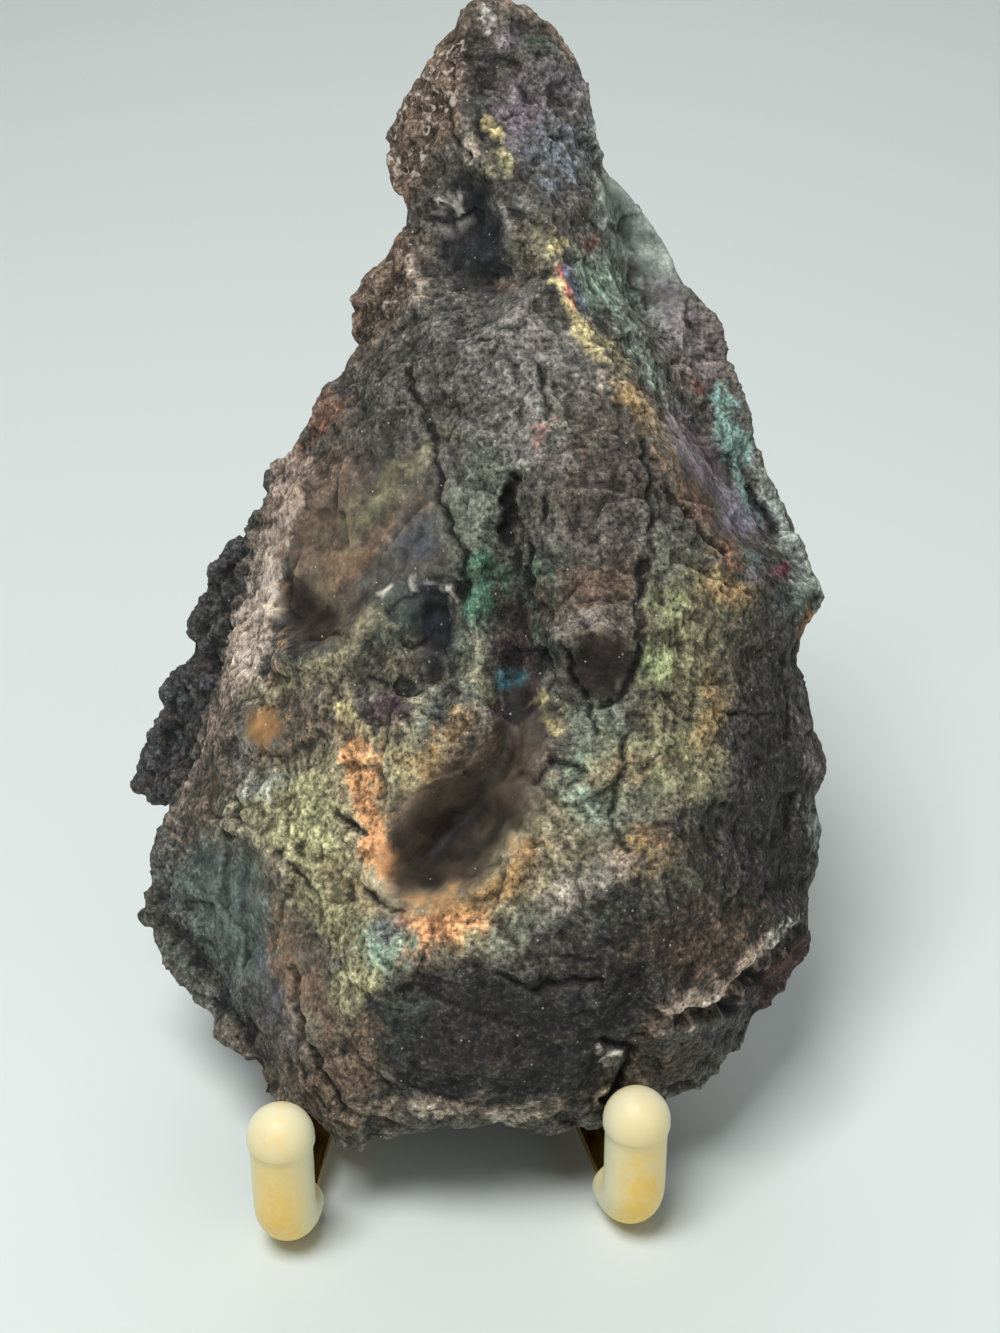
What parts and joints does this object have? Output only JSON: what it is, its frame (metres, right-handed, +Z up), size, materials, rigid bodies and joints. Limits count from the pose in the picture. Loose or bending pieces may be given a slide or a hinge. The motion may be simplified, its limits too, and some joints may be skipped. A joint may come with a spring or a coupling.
{
  "type": "limonite",
  "caption": "Upright pointed piece of iridescent iron ore with a black crust, leaning back on a small brass easel of bent strip with sleeved front hooks",
  "frame": {"origin": "on the floor, at the middle of the footprint box", "axes": "+Z up and the longest extent; -Y is the front, where the hooks are; +X to the viewer's right"},
  "size_m": [0.0592, 0.0744, 0.0862],
  "materials": {
    "limonite": "rough fracture, dull, with thin iridescent patches and a black botryoidal crust",
    "brass_strip": "polished",
    "silicone": "frosted, translucent"
  },
  "bodies": {
    "root": {"limonite": "limonite", "left_arm": "brass_strip", "right_arm": "brass_strip", "cross_bar": "brass_strip", "rear_leg": "brass_strip", "left_sleeve": "silicone", "right_sleeve": "silicone"}
  },
  "joints": []
}
